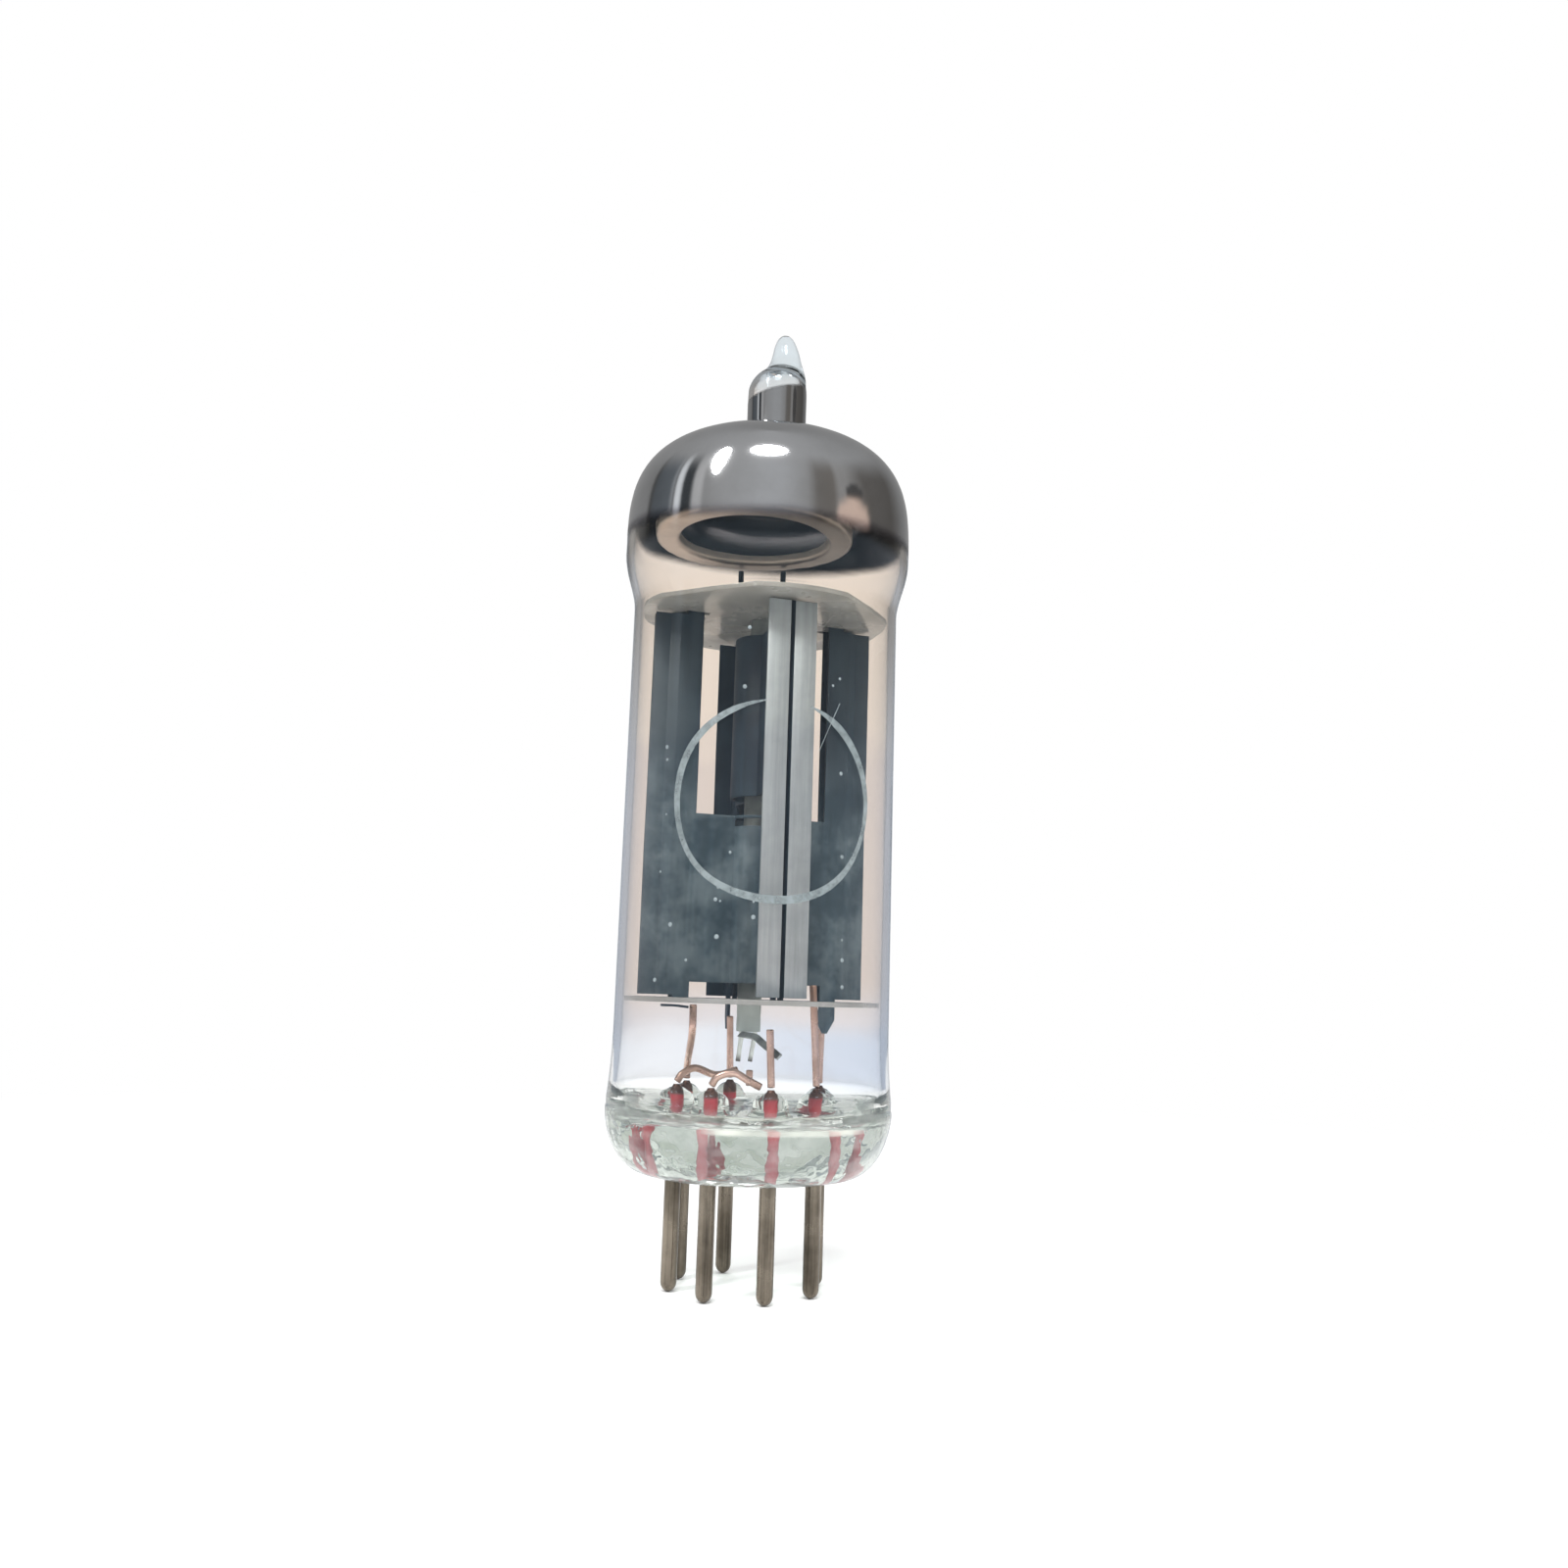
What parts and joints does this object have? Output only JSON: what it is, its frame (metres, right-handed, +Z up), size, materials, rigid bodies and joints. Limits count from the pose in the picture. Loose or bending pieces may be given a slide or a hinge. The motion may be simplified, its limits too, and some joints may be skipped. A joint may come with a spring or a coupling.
{
  "type": "vacuum tube",
  "caption": "All-glass miniature rectifier tube: clear bulb with a drawn exhaust tip, stacked dark anodes between mica spacers, a getter ring, and stiff round-ended pins in a ring below",
  "frame": {"origin": "Centre of the pin circle, in the plane of the pin tips, so the tube stands on its pins", "axes": "+Z up along the bulb to the drawn tip; -Y is the side with pin 5, on which the upper anode's bare flanges show; +X to the right seen from there"},
  "size_m": [0.0192, 0.0192, 0.0641],
  "materials": {
    "glass": "clear soda-lime glass, blown bulb and pressed stem, fused",
    "pin_metal": "nickel-iron wire, dull with a yellowish tarnish",
    "seal": "copper-clad wire with its dark red oxide, seen through the glass",
    "lead_copper": "bright copper-clad wire, brownish near the welds",
    "mica": "punched mica sheet, olive grey, slightly sprayed white",
    "anode": "carbonised nickel sheet, matt slate grey; the front flanges are bare",
    "nickel": "bare nickel sheet and wire, satin",
    "cathode": "nickel sleeve with a matt emissive coating",
    "heater": "folded tungsten wire with a white insulating coating"
  },
  "bodies": {
    "root": {"glass_envelope": "glass", "glass_stem": "glass", "pin_1": "pin_metal", "pin_2": "pin_metal", "pin_3": "pin_metal", "pin_4": "pin_metal", "pin_5": "pin_metal", "pin_6": "pin_metal", "pin_7": "pin_metal", "seal_1": "seal", "seal_2": "seal", "seal_3": "seal", "seal_4": "seal", "seal_5": "seal", "seal_6": "seal", "seal_7": "seal", "lead_1": "lead_copper", "lead_2": "lead_copper", "lead_3": "lead_copper", "lead_4": "lead_copper", "lead_5": "lead_copper", "lead_6": "lead_copper", "lead_7": "lead_copper", "heater_stub": "lead_copper", "bottom_mica": "mica", "top_mica": "mica", "lower_anode_front": "anode", "lower_anode_rear": "anode", "upper_anode_left": "anode", "upper_anode_right": "anode", "anode_tab_strip": "anode", "cathode_strap": "nickel", "getter_ring": "nickel", "getter_post_left": "nickel", "getter_post_right": "nickel", "cathode_sleeve": "cathode", "heater": "heater"}
  },
  "joints": []
}
